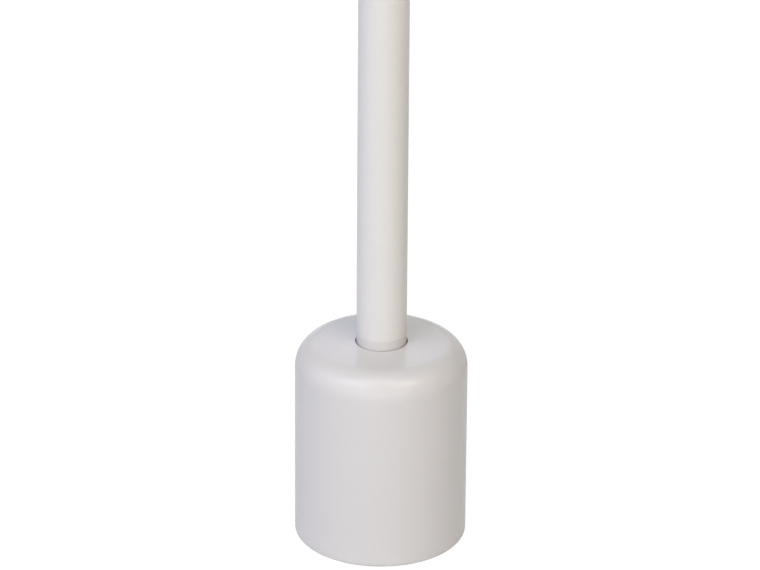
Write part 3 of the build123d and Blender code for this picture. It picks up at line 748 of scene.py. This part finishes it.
def wire(path: np.ndarray, radius: float, sides: int = 6) -> Surface:
    """Round wire: at each point of the path a circle across it, in the frame of path x Y and its normal.

    Args:
        path: one row for each point; it never runs along Y.
        radius: the wire's radius.
        sides: points round the wire.

    Returns:
        The surface.
    """
    along = np.gradient(path, axis=0)
    side = np.cross(along, (0, 1, 0))
    lift = np.cross(side, along)
    side, lift = (axis / np.linalg.norm(axis, axis=1, keepdims=True) for axis in (side, lift))
    turn = (np.arange(sides) * 2 * math.pi / sides)[:, None]
    rim = np.cos(turn) * side[:, None] + np.sin(turn) * lift[:, None]
    return Surface.swept(path[:, None] + radius * rim)


def strip(path: np.ndarray, width: float, thickness: float) -> Surface:
    """Flat strip bent along a path: at each point a rectangle across it, wide along Z.

    Args:
        path: one row for each point, in the XY plane.
        width: the strip along Z.
        thickness: the strip across Z and the path.

    Returns:
        The surface.
    """
    along = np.gradient(path, axis=0)
    across = np.cross(along, (0, 0, 1))
    across /= np.linalg.norm(across, axis=1, keepdims=True)
    corner = np.array([(-1, -1), (1, -1), (1, 1), (-1, 1)])[:, :, None] / 2
    rim = corner[:, 0] * thickness * across[:, None] + corner[:, 1] * width * np.array([0.0, 0.0, 1.0])
    return Surface.swept(path[:, None] + rim)


def spread(x: np.ndarray | float, y: np.ndarray | float, z: np.ndarray | float) -> np.ndarray:
    """Points whose axes are spread over each other as numpy spreads its arrays."""
    return np.stack(np.broadcast_arrays(x, y, z), axis=-1)


def centred(count: int, pitch: float) -> np.ndarray:
    """Evenly spaced places about zero."""
    return (np.arange(count) - (count - 1) / 2) * pitch


def both_sides(offsets: tuple[float, ...]) -> np.ndarray:
    """Offsets below zero, then the same above."""
    return np.multiply.outer((-1, 1), offsets).ravel()


ALONG_X = np.array([(-0.5, 0, 0), (0.5, 0, 0)])  # both ends of a line of length 1 about the origin
ALONG_Z = np.array([(0, 0, -0.5), (0, 0, 0.5)])


def corners(node: str) -> tuple[np.ndarray, np.ndarray]:
    """Lowest and highest corners of a CAD node, as arrays."""
    low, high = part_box(node)
    return np.array(low), np.array(high)


def new_object(name: str, data: bpy.types.ID) -> bpy.types.Object:
    """Puts an object in the scene.

    Args:
        name: the object's name.
        data: its mesh, lamp or camera.

    Returns:
        The object.
    """
    thing = bpy.data.objects.new(name, data)
    bpy.context.scene.collection.objects.link(thing)
    return thing


# ---------------- sub-assemblies
@dataclass
class SubAssembly:
    """A sub-assembly: CAD nodes that get their finishes, and pieces that only the looks have."""

    nodes: tuple[str, ...]
    body: str = "head"  # that its added pieces ride on

    def build(self) -> None:
        """Dresses the nodes, then adds the pieces."""
        for name in self.nodes:
            self.dress(name)
        self.add_pieces()

    def dress(self, name: str) -> None:
        """Gives a node the finish of its slot in the record.

        Args:
            name: the node's name.
        """
        for holder in frame["nodes"][name].material_slots:
            holder.material = Finish[SLOTS[name]].material()
        log.info("node %s: %s", name, SLOTS[name])

    def add(self, name: str, surface: Surface, finish: Finish, slot: str) -> bpy.types.Object:
        """Puts a surface in the scene as a piece.

        Args:
            name: the piece's name.
            surface: its surface.
            finish: its finish.
            slot: the record's material slot that is nearest to its finish; not used.

        Returns:
            The piece's object.
        """
        mesh = bpy.data.meshes.new(name)
        mesh.from_pydata(surface.points.tolist(), [], surface.triangles.tolist())
        mesh.validate()
        mesh.shade_smooth()
        mesh.set_sharp_from_angle(angle=SMOOTH_TO)
        mesh.materials.append(finish.material())
        piece = new_object(name, mesh)
        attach(piece, self.body)
        log.info("piece %s: %d triangles on %s", name, len(surface.triangles), self.body)
        return piece

    def add_pieces(self) -> None:
        """Adds nothing: the CAD nodes are the whole sub-assembly."""


@dataclass
class WeightedBase(SubAssembly):
    """The pot on its steel plate, with the weight and the socket that the pole turns in."""

    nodes: tuple[str, ...] = (
        "base_shell", "base_plate", "foot_pad", "ballast_ring", "pole_socket", "lower_bush", "upper_bush",
        "thrust_washer", "lead_grommet", "shell_screws", "socket_screws", "ballast_screws", "stop_screw",
    )


@dataclass
class SwivelPole(SubAssembly):
    """The pole tube and its collar on the stem that turns in the base."""

    nodes: tuple[str, ...] = ("swivel_stem", "stem_foot", "pole_collar", "pole_tube", "pole_screws")


@dataclass
class TiltHinge(SubAssembly):
    """The neck on top of the pole, and the hinge that carries the head."""

    nodes: tuple[str, ...] = (
        "neck", "neck_screw", "friction_washers", "spring_washers", "hinge_screws", "hinge_bracket",
        "hinge_caps", "bracket_screws",
    )


@dataclass
class DisplayHead(SubAssembly):
    """The housing of the display, with its window."""

    nodes: tuple[str, ...] = (
        "rear_cover", "front_bezel", "housing_screws", "head_grommet", "filter_window", "window_gasket",
    )


DIGITS = {
    " ": "..... ..... ..... ..... ..... ..... .....",
    "0": ".###. #...# #..## #.#.# ##..# #...# .###.",
    "1": "..#.. .##.. ..#.. ..#.. ..#.. ..#.. .###.",
    "2": ".###. #...# ....# ...#. ..#.. .#... #####",
    "3": "##### ...#. ..#.. ...#. ....# #...# .###.",
    "5": "##### #.... ####. ....# ....# #...# .###.",
    ".": "..... ..... ..... ..... ..... .##.. .##..",
}


@dataclass
class DisplayTube(SubAssembly):
    """The fluorescent display tube: glass, anode plate, dot characters, grids and filaments."""

    nodes: tuple[str, ...] = ("display_tube", "tube_pins")
    reading: tuple[str, str] = ("3.25", "12.50")
    columns: int = 20
    character_pitch: float = 7.6 * MM
    row_pitch: float = 15.5 * MM
    dot_pitch: tuple[float, float] = (1.1 * MM, 1.3 * MM)
    dot_gap: float = 0.2 * MM
    dot_round: float = 0.16 * MM
    dot_thickness: float = 0.08 * MM
    dot_bevel: float = 0.01 * MM
    glass: float = 1.6 * MM
    glass_corner: float = 1.0 * MM
    glass_bevel: float = 0.25 * MM
    anode_thickness: float = 0.6 * MM
    anode_margin: float = 0.4 * MM
    anode_bevel: float = 0.1 * MM
    grid_rise: float = 0.9 * MM  # above the anodes
    grid_height: float = 10.4 * MM
    grid_gap: float = 1.0 * MM
    grid_wires: int = 9
    filament_rise: float = 1.8 * MM
    filament_inset: float = 3.2 * MM  # from the glass
    filament_offset: tuple[float, float] = (4.5 * MM, 11.0 * MM)  # above and below the tube's middle
    wire: float = 0.05 * MM
    post: tuple[float, float] = (0.8 * MM, 3.0 * MM)
    post_round: float = 0.2 * MM
    post_bevel: float = 0.1 * MM

    def add_pieces(self) -> None:
        """Puts a glass envelope in place of the tube's solid, and fills it."""
        self.low, self.high = corners("display_tube")
        self.middle = (self.low + self.high) / 2
        self.room = self.high - self.low - 2 * self.glass
        self.anode_front = self.high[1] - self.glass - self.anode_thickness
        self.envelope()
        self.anodes()
        self.dots()
        self.grids()
        self.filaments()

    def envelope(self) -> None:
        """Glass box with thick walls: one closed shell inside another."""
        outer = slab(tuple(self.high - self.low), self.glass_corner, self.glass_bevel, steps=6)
        inner = slab(tuple(self.room), self.glass_corner, self.glass_bevel, steps=6).inside_out()
        glass = (outer + inner).at(self.middle)
        piece = self.add("tube_envelope", glass, Finish.tube_glass, "tube_glass")
        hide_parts("display_tube")

    def anodes(self) -> None:
        """Black plate that carries the phosphor, against the back of the glass."""
        width, _, height = self.room - 2 * self.anode_margin
        plate = slab((width, self.anode_thickness, height), self.glass_corner, self.anode_bevel)
        place = self.middle.copy()
        place[1] = self.anode_front + self.anode_thickness / 2
        self.add("tube_anode_plate", plate.at(place), Finish.anode_plate, "chip_black")

    def places(self, rise: float, *dots: int) -> np.ndarray:
        """Places of the characters, evenly spaced about the tube's middle, or of the dots about those.

        Args:
            rise: height above the anodes.
            dots: rows and columns of dots in a character, if the dots are wanted.

        Returns:
            Places, by row and column of the characters, then of the dots, and by axis.
        """
        x = self.middle[0] + centred(self.columns, self.character_pitch)
        z = self.middle[2] - centred(len(self.reading), self.row_pitch)[:, None]
        if dots:
            x = x[:, None, None] + centred(dots[1], self.dot_pitch[0])
            z = z[..., None, None] - centred(dots[0], self.dot_pitch[1])[:, None]
        return spread(x, self.anode_front - rise, z)

    def dots(self) -> None:
        """Every dot of every character, lit or dark, as a thin tile on the anode plate."""
        lines = [[DIGITS[letter].split() for letter in line.rjust(self.columns)] for line in self.reading]
        lit = np.array([[[list(row) for row in digit] for digit in line] for line in lines]) == "#"
        places = self.places(self.dot_thickness / 2, *lit.shape[2:])
        width, height = (pitch - self.dot_gap for pitch in self.dot_pitch)
        tile = slab((width, self.dot_thickness, height), self.dot_round, self.dot_bevel, steps=2)
        self.add("tube_dots_lit", tile.at(places[lit]), Finish.lit_phosphor, "tube_glass")
        self.add("tube_dots_dark", tile.at(places[~lit]), Finish.dark_phosphor, "tube_glass")

    def grids(self) -> None:
        """Control grids: for each character, upright wires between two rails."""
        width = self.character_pitch - self.grid_gap
        upright = wire(ALONG_Z * self.grid_height, self.wire / 2, sides=4)
        rail = wire(ALONG_X * width, self.wire, sides=4)
        across = spread(np.linspace(-width / 2, width / 2, self.grid_wires), 0.0, 0.0)
        grid = upright.at(across) + rail.at(ALONG_Z * self.grid_height)
        places = self.places(self.grid_rise).reshape(-1, 3)
        self.add("tube_grids", grid.at(places), Finish.grid_metal, "pin_tin")

    def filaments(self) -> None:
        """Long thin filaments across the tube, and the posts that hold their ends."""
        width = self.room[0] - 2 * self.filament_inset
        run = wire(ALONG_X * width, self.wire)
        y = self.anode_front - self.filament_rise
        places = spread(self.middle[0], y, self.middle[2] + both_sides(self.filament_offset))
        self.add("tube_filaments", run.at(places), Finish.filament_wire, "pin_tin")
        post = slab((self.post[0], self.filament_rise, self.post[1]), self.post_round, self.post_bevel)
        posts = post.at(ALONG_X * width + (0, self.filament_rise / 2, 0)).at(places)
        self.add("tube_posts", posts, Finish.grid_metal, "pin_tin")


@dataclass
class Electronics(SubAssembly):
    """The two boards: legs, winding, solder and the small parts that stand on them."""

    nodes: tuple[str, ...] = (
        "display_board", "board_screws", "standoffs", "interface_board", "interface_screws", "board_header",
        "lead_connector", "controller_chip", "driver_chips", "capacitors", "filament_coil",
    )
    leg_pitch: float = 1.0 * MM
    leg_width: float = 0.4 * MM
    leg_thickness: float = 0.15 * MM
    leg_reach: float = 1.5 * MM
    leg_root: float = 0.2 * MM  # inside the chip
    leg_margin: float = 1.0 * MM  # row of legs to the ends of the chip
    leg_steps: int = 13  # points along a leg
    driver_length: float = 18.0 * MM
    winding_wire: float = 0.5 * MM
    winding_flange: float = 1.5 * MM
    winding_depth: float = 1.75 * MM
    winding_layers: int = 3
    winding_steps: int = 24  # points in a turn
    can_count: int = 3
    can_pitch: float = 9.0 * MM
    can_top: float = 3.25 * MM  # radius of the bare metal on a capacitor's end
    can_vent: Triple = (4.2 * MM, 0.05 * MM, 0.25 * MM)
    pin_count: int = 31
    pin_pitch: float = 5.08 * MM
    solder_radius: float = 0.95 * MM
    solder_height: float = 0.8 * MM
    solder_inset: float = 0.3 * MM  # half of a pin's thickness
    solder_steps: int = 6  # points up a joint
    resistor: Triple = (1.25 * MM, 0.5 * MM, 2.0 * MM)
    resistor_body: float = 0.45 * MM  # height between its ends
    resistor_end: float = 0.4 * MM
    resistor_round: tuple[float, float] = (0.1 * MM, 0.12 * MM)  # of the body and of the ends
    resistor_bevel: float = 0.05 * MM
    resistor_rows: int = 8
    resistor_pitch: float = 5.2 * MM
    resistor_columns: tuple[float, float] = (48.0 * MM, 53.0 * MM)  # on both sides of the middle
    line_count: int = 11
    line_rise: float = 13.5 * MM  # row of resistors on the small board, above its middle
    crystal: Triple = (4.6 * MM, 3.4 * MM, 11.0 * MM)
    crystal_corner: float = 2.208 * MM
    crystal_bevel: float = 0.3 * MM
    crystal_x: float = 81.0 * MM

    def add_pieces(self) -> None:
        """Adds what stands on the boards' backs."""
        self.large_back = corners("display_board")[1][1]
        self.small_back = corners("interface_board")[1][1]
        self.middle = sum(corners("interface_board")) / 2
        self.legs()
        self.winding()
        self.can_tops()
        self.solder_joints()
        self.resistors()
        self.crystal_can()

    def leg_pair(self, width: float, length: float, height: float) -> Surface:
        """Rows of bent legs on two sides of a chip whose middle is at the origin.

        A leg runs out along X and steps down towards the board: x = s reach, y = -drop (3 t^2 - 2 t^3),
        where t goes from 0 to 1 over the middle third of s.

        Args:
            width: the chip between its two rows.
            length: the chip along its rows.
            height: the chip's thickness.

        Returns:
            The legs.
        """
        s = np.linspace(0, 1, self.leg_steps)
        t = np.clip(3 * s - 1, 0, 1)
        drop = (height - self.leg_thickness) / 2
        path = np.stack([s * self.leg_reach, -drop * (3 * t**2 - 2 * t**3), 0 * s], axis=1)
        half = (length - 2 * self.leg_margin) / 2
        z = np.arange(-half, half + self.leg_pitch / 2, self.leg_pitch)
        places = spread(width / 2 - self.leg_root, 0.0, z)
        row = strip(path, self.leg_width, self.leg_thickness).at(places)
        return row + row.spun(math.pi)

    def legs(self) -> None:
        """Legs on four sides of the controller and on the long sides of both drivers."""
        low, high = corners("controller_chip")
        width, height, length = high - low
        pair = self.leg_pair(width, length, height)
        controller = (pair + pair.spun(math.pi / 2)).at((low + high) / 2)
        low, high = corners("driver_chips")
        ends = np.stack([low, high])
        ends[:, :2] = (low + high)[:2] / 2
        ends[:, 2] += np.array([0.5, -0.5]) * self.driver_length
        drivers = self.leg_pair((high - low)[0], self.driver_length, height).at(ends)
        self.add("chip_legs", controller + drivers, Finish.pin_tin, "pin_tin")

    def winding(self) -> None:
        """Enamelled wire on the coil, in layers, each a helix (r cos t, wire t / 2 pi, r sin t)."""
        low, high = corners("filament_coil")
        core = (high - low)[0] / 2 - self.winding_depth
        span = (high - low)[1] - 2 * self.winding_flange - self.winding_wire
        count = int(span / self.winding_wire) * self.winding_steps
        turn = np.linspace(0, 2 * math.pi * span / self.winding_wire, count)
        y = turn * self.winding_wire / (2 * math.pi) - span / 2
        layers = []
        for layer in range(self.winding_layers):
            radius = core + (layer + 0.5) * self.winding_wire
            path = np.stack([radius * np.cos(turn), y, radius * np.sin(turn)], axis=1)
            layers.append(wire(path, self.winding_wire / 2).at((low + high) / 2))
        self.add("coil_winding", sum(layers[1:], layers[0]), Finish.copper_enamel, "coil_core")

    def can_tops(self) -> None:
        """Bare metal ends of the capacitors, dished, each with a scored cross."""
        low, high = corners("capacitors")
        places = np.tile((low + high) / 2, (self.can_count, 1))
        places[:, 0] += centred(self.can_count, self.can_pitch)
        places[:, 1] = high[1]
        rim = np.array([(1.0, -0.3), (1.0, 0.04), (0.95, 0.09), (0.86, 0.04), (0.05, 0.03)])
        rim = rim * (self.can_top, MM)
        top = turned(rim, sides=32)
        self.add("capacitor_tops", top.at(places), Finish.solder, "pin_tin")
        score = slab(self.can_vent, self.can_vent[2] / 3, self.can_vent[1] / 4, steps=2)
        cross = (score + score.spun(math.pi / 2)).at(spread(0.0, rim[-1, 1], 0.0))
        self.add("capacitor_vents", cross.at(places), Finish.grid_metal, "capacitor_sleeve")

    def solder_joints(self) -> None:
        """Solder round each pin of the tube: a cone hollowed by (1 - s)^2 that ends in a small dome.

        The pins behind a driver chip and its legs show none.
        """
        s = np.linspace(0, 1, self.solder_steps)
        radius = self.solder_radius * (0.3 + 0.7 * (1 - s) ** 2) * np.sqrt(1.02 - s**6)
        joint = turned(np.stack([radius, s * self.solder_height], axis=1), sides=12)
        low, high = corners("driver_chips")
        margin = self.leg_reach + self.solder_radius
        x = centred(self.pin_count, self.pin_pitch)
        x = x[(x < low[0] - margin) | (x > high[0] + margin)]
        places = spread(x, self.large_back, corners("tube_pins")[0][2] + self.solder_inset)
        self.add("solder_joints", joint.at(places), Finish.solder, "pin_tin")

    def resistors(self) -> None:
        """Small resistors: four columns on the large board and a line on the small one."""
        rise = self.resistor[1] / 2
        x = both_sides(self.resistor_columns)[:, None]
        z = self.middle[2] + centred(self.resistor_rows, self.resistor_pitch)
        field = spread(x, self.large_back + rise, z).reshape(-1, 3)
        x = centred(self.line_count, self.resistor_pitch)
        line = spread(x, self.small_back + rise, self.middle[2] + self.line_rise)
        places = np.concatenate([field, line])
        width, height, length = self.resistor
        between = length - self.resistor_end
        bevel = self.resistor_bevel
        body = slab((width, self.resistor_body, between), self.resistor_round[0], bevel, steps=2)
        self.add("resistor_bodies", body.at(places), Finish.chip_black, "chip_black")
        end = slab((width, height, self.resistor_end), self.resistor_round[1], bevel, steps=2)
        self.add("resistor_ends", end.at(ALONG_Z * between).at(places), Finish.solder, "pin_tin")

    def crystal_can(self) -> None:
        """Metal can of the clock crystal beside the controller."""
        can = slab(self.crystal, self.crystal_corner, self.crystal_bevel, steps=12)
        place = spread(self.crystal_x, self.large_back + self.crystal[1] / 2, self.middle[2])
        self.add("crystal_can", can.at(place), Finish.pin_tin, "pin_tin")


# ---------------- studio
@dataclass(frozen=True)
class Softbox:
    """A soft lamp with a rectangular face that looks at the object."""

    name: str
    azimuth: float
    elevation: float
    distance: float
    width: float
    height: float
    power: float
    colour: Triple
    in_gloss: bool = True  # whether polished surfaces mirror the lamp

    def place(self, target: Vector) -> None:
        """Adds the lamp.

        Args:
            target: what it faces, and what its place is reckoned from.
        """
        a, e = math.radians(self.azimuth), math.radians(self.elevation)
        towards = Vector((math.sin(a) * math.cos(e), -math.cos(a) * math.cos(e), math.sin(e)))
        light = bpy.data.lights.new(self.name, "AREA")
        light.shape = "RECTANGLE"
        light.size, light.size_y = self.width, self.height
        light.energy = self.power
        light.color = self.colour
        lamp = new_object(self.name, light)
        lamp.location = target + towards * self.distance
        lamp.rotation_mode = "QUATERNION"
        lamp.rotation_quaternion = towards.to_track_quat("Z", "Y")
        lamp.visible_camera = False
        lamp.visible_glossy = self.in_gloss
        log.info("lamp %s", self.name)


@dataclass
class Studio:
    """White floor and surroundings, soft lamps and the camera."""

    fill: Triple = (0.125, 0.12, 0.115)
    floor_radius: float = 1.6
    floor_start: float = 0.001  # innermost ring
    floor_power: float = 1.5  # 1 would space the rings evenly
    floor_rings: int = 24
    floor_turns: int = 96
    floor_drop: float = 0.02 * MM
    floor_white: float = 0.8
    floor_fade: tuple[float, float] = (0.35, 0.95)  # shares of its radius between which it turns clear
    floor_share: float = 0.12  # share of the light that falls on the floor in what the camera sees
    gloss_share: float = 0.55  # the same in what reflections see
    floor_glow: float = 1.1
    pitch: float = 25.5
    lens: float = 247.3
    distance: float = 3.3
    aim: tuple[float, float] = (-1.21 * MM, 174.4 * MM)  # x and z that the camera looks at, on y = 0
    roll: float = 0.42
    clip: tuple[float, float] = (0.05, 50.0)  # nearest and furthest that the camera sees
    lamps: tuple[Softbox, ...] = (
        Softbox("key", -45, 49, 3.0, 1.8, 1.2, 22.8, (0.78, 0.84, 1.0)),
        Softbox("right", 42, 49, 1.5, 0.84, 0.56, 5.2, (1.0, 0.86, 0.62)),
        Softbox("front", -6, 14, 3.0, 4.4, 2.4, 56.4, (0.98, 0.96, 0.98), in_gloss=False),
        Softbox("top", -8, 72, 3.0, 1.8, 1.0, 11.2, (1.0, 0.97, 0.96)),
        Softbox("left", -80, 30, 1.5, 1.4, 1.2, 3.6, (0.8, 0.82, 1.0)),
        Softbox("behind", 180, 30, 1.5, 1.3, 0.5, 1.9, (0.66, 0.7, 1.0)),
        Softbox("low_behind", 180, 2, 1.5, 0.9, 0.3, 8.0, (1.0, 1.0, 1.0), in_gloss=False),
    )

    def build(self) -> None:
        """Makes the camera, the world, the floor and the lamps."""
        bpy.context.scene.view_settings.view_transform = "Standard"
        self.camera()
        self.world()
        self.floor()
        _, crest = corners("base_shell")
        for lamp in self.lamps:
            lamp.place(Vector((0, 0, crest[2])))

    def camera(self) -> None:
        """Long lens, pitched down at the lower pole, straight from the front."""
        data = bpy.data.cameras.new("camera")
        data.lens = self.lens
        data.clip_start, data.clip_end = self.clip
        camera = new_object("camera", data)
        pitch = math.radians(self.pitch)
        back = Vector((0, -math.cos(pitch), math.sin(pitch)))
        camera.location = Vector((self.aim[0], 0, self.aim[1])) + back * self.distance
        turn = back.to_track_quat("Z", "Y").to_matrix() @ Matrix.Rotation(math.radians(self.roll), 3, "Z")
        camera.rotation_mode = "QUATERNION"
        camera.rotation_quaternion = turn.to_quaternion()
        bpy.context.scene.camera = camera

    def world(self) -> None:
        """White surroundings to the eye, a plain soft fill to the object."""
        g = Graph(bpy.data.worlds.new("surroundings"))
        fill = g.node("Background", values={"Color": (*self.fill, 1.0)})
        white = g.node("Background", values={"Color": (1.0, 1.0, 1.0, 1.0)})
        bpy.context.scene.world = g.end(g.node("MixShader", values={0: g.seen(), 1: fill, 2: white}))

    def floor(self) -> None:
        """Round floor: a disc of rings (r cos t, r sin t), with the rings closer in the middle."""
        share = np.linspace(self.floor_start, 1, self.floor_rings)[:, None]
        radius = self.floor_radius * share**self.floor_power
        angle = np.arange(self.floor_turns) * 2 * math.pi / self.floor_turns
        x, y = radius * np.cos(angle), radius * np.sin(angle)
        rings = spread(x, y, -self.floor_drop)
        upwards = ring_cells(self.floor_rings, self.floor_turns)[:, [0, 3, 2, 1]]
        mesh = bpy.data.meshes.new("floor")
        mesh.from_pydata(rings.reshape(-1, 3).tolist(), [], upwards.tolist())
        mesh.materials.append(self.floor_finish())
        floor = new_object("floor", mesh)

    def floor_finish(self) -> Material:
        """White sweep: to the eye mostly its own light, which keeps the shadow, and clear towards its rim.

        Returns:
            The material.
        """
        g = Graph(bpy.data.materials.new("floor_white"))
        white = (self.floor_white,) * 3
        sweep = g.node("BsdfDiffuse", values={"Color": (*white, 1.0)})
        glow = g.node("Emission", values={"Strength": self.floor_glow})
        share = self.floor_share + g.ray("Glossy") * (self.gloss_share - self.floor_share)
        bright = g.node("MixShader", values={0: share, 1: glow, 2: sweep})
        lit = g.node("MixShader", values={0: g.seen(), 1: sweep, 2: bright})
        x, y, _ = g.axes()
        start, end = (fade * self.floor_radius for fade in self.floor_fade)
        far = (x * x + y * y).math("SQRT").step(start, end)
        return g.end(g.node("MixShader", values={0: far, 1: lit, 2: g.node("BsdfTransparent")}))


def main() -> None:
    """Builds the studio and the object, noting each node's finish and each piece's triangles, and stops if a
    node of the record is left without a finish.
    """
    logging.basicConfig(level=logging.INFO, format="%(name)s: %(message)s")
    Studio().build()
    assemblies = (WeightedBase(), SwivelPole(), TiltHinge(), DisplayHead(), DisplayTube(), Electronics())
    for assembly in assemblies:
        assembly.build()
    plain = set(SLOTS) - {name for assembly in assemblies for name in assembly.nodes}
    if plain:
        raise ValueError(f"nodes without a finish: {sorted(plain)}")


if __name__ == "__main__":
    main()
